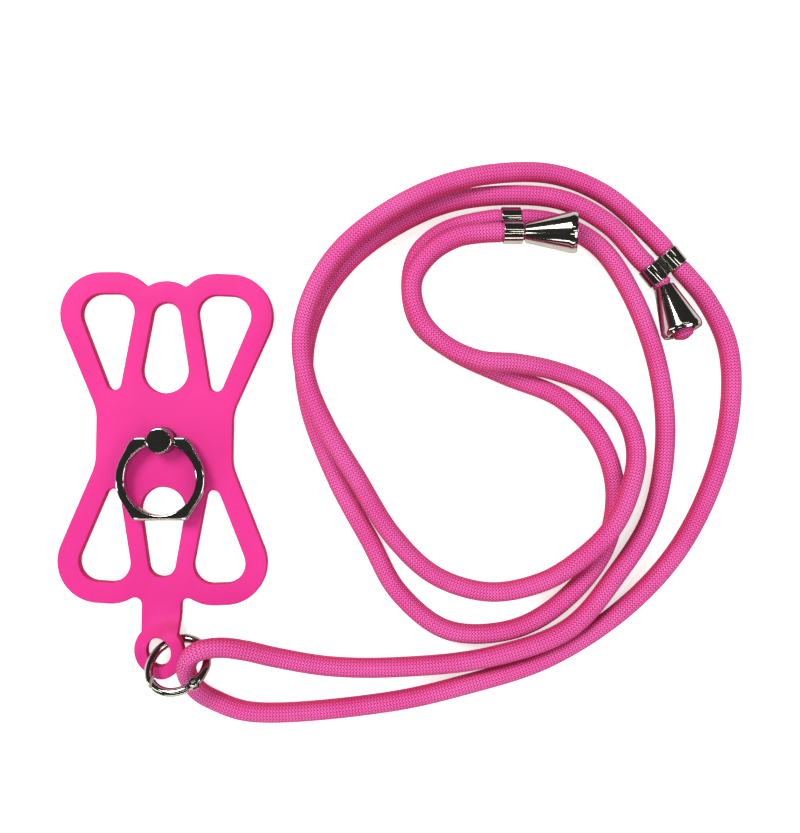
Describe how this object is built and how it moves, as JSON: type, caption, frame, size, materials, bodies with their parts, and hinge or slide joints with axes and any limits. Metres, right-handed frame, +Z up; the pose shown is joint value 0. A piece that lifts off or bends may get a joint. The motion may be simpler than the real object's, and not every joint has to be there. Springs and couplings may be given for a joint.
{
  "type": "lanyard phone case",
  "caption": "Stretch silicone phone holder with corner loops and a fold-flat finger ring, hung by a gate ring on a long knitted neck cord with metal clips and bell caps.",
  "frame": {"origin": "under the middle of the case (holder, finger ring and gate ring, without the cord), on the table it lies on", "axes": "+X across the holder towards the coiled cord, +Y towards the holder's top, +Z up from the table, away from the phone's back"},
  "size_m": [0.2256, 0.1831, 0.0199],
  "materials": {
    "silicone_pink": "satin hot pink silicone",
    "cord_pink": "fine knitted pink polyester",
    "dark_chrome": "polished gunmetal plating",
    "plate_steel": "plain bright steel",
    "washer_nylon": "black nylon"
  },
  "bodies": {
    "case": {"phone_holder": "silicone_pink", "ring_base_plate": "plate_steel", "ring_washer": "washer_nylon", "gate_ring_body": "dark_chrome", "gate_hinge_pin": "plate_steel", "lanyard_cord": "cord_pink", "cord_clip_1": "dark_chrome", "cord_clip_2": "dark_chrome", "bell_cap_1": "dark_chrome", "bell_cap_2": "dark_chrome"},
    "hub": {"swivel_hub": "dark_chrome"},
    "ring": {"finger_ring": "dark_chrome"},
    "gate": {"gate_ring_gate": "dark_chrome"}
  },
  "joints": [
    {"name": "ring_swivel", "type": "hinge", "parent": "case", "child": "hub", "pos_m": [-0.00026, 0.01234, 0.0063], "axis": [0, 0, 1], "continuous": true},
    {"name": "ring_fold", "type": "hinge", "parent": "hub", "child": "ring", "pos_m": [-0.00026, 0.01234, 0.0063], "axis": [-1, 0, 0], "range_deg": [0, 180]},
    {"name": "gate_open", "type": "hinge", "parent": "case", "child": "gate", "pos_m": [0.01247, -0.06445, 0.01358], "axis": [0.0752, -0.7154, -0.6947], "range_deg": [0, 20], "stiffness_Nm_per_rad": 0.05, "springref_deg": -11.46}
  ]
}
